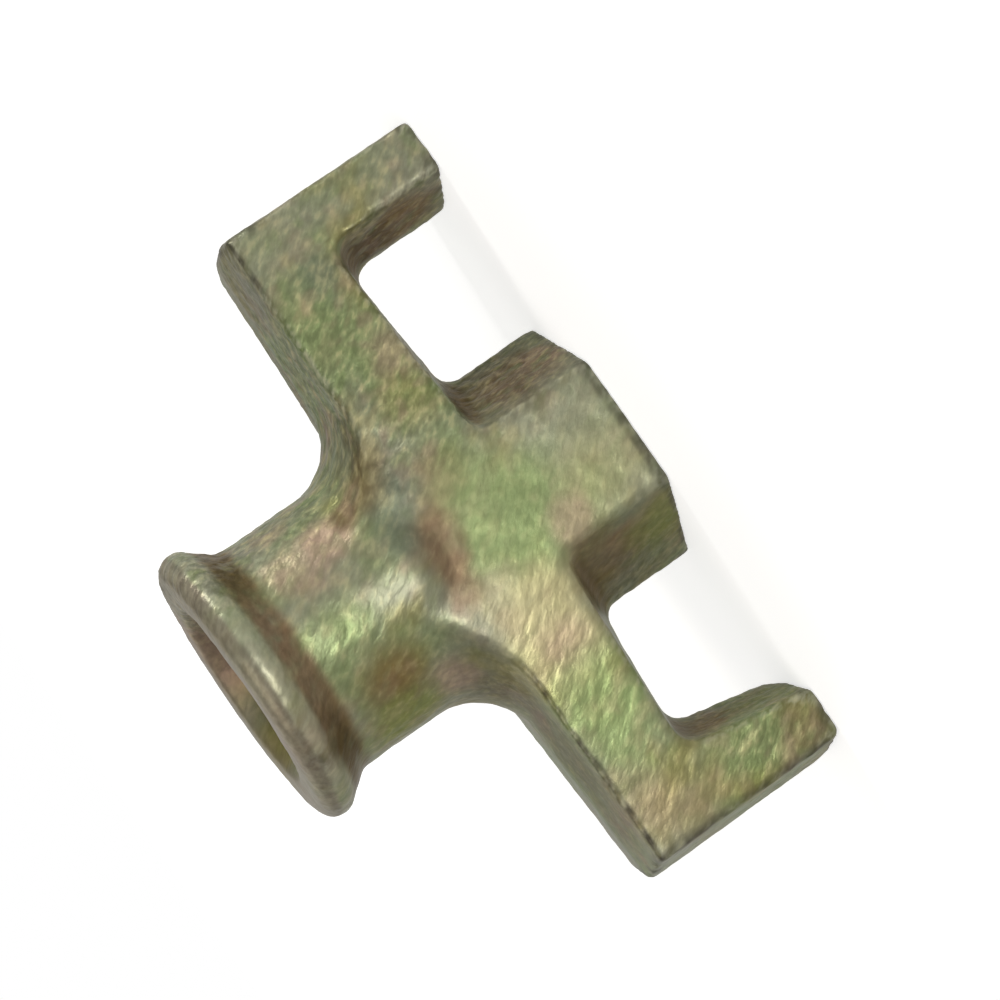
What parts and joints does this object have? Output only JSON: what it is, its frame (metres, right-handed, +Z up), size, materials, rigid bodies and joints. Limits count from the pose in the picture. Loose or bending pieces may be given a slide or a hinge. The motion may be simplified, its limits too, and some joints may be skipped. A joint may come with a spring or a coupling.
{
  "type": "formwork wing nut",
  "caption": "One-piece cast wing nut for formwork tie rods: hexagonal spanner head, two hammer wings bent into prongs, and a flanged neck round a coarse-threaded bore.",
  "frame": {"origin": "centre of the spanner head's end face, on the ground under the thread axis", "axes": "+Z up along the thread axis, from the spanner head to the flange; +X along the wings; the mould's parting plane is y = 0"},
  "size_m": [0.095, 0.0384, 0.0566],
  "materials": {
    "plated_casting": "sand-cast iron, yellow zinc chromate plating"
  },
  "bodies": {
    "root": {"wing_nut": "plated_casting"}
  },
  "joints": []
}
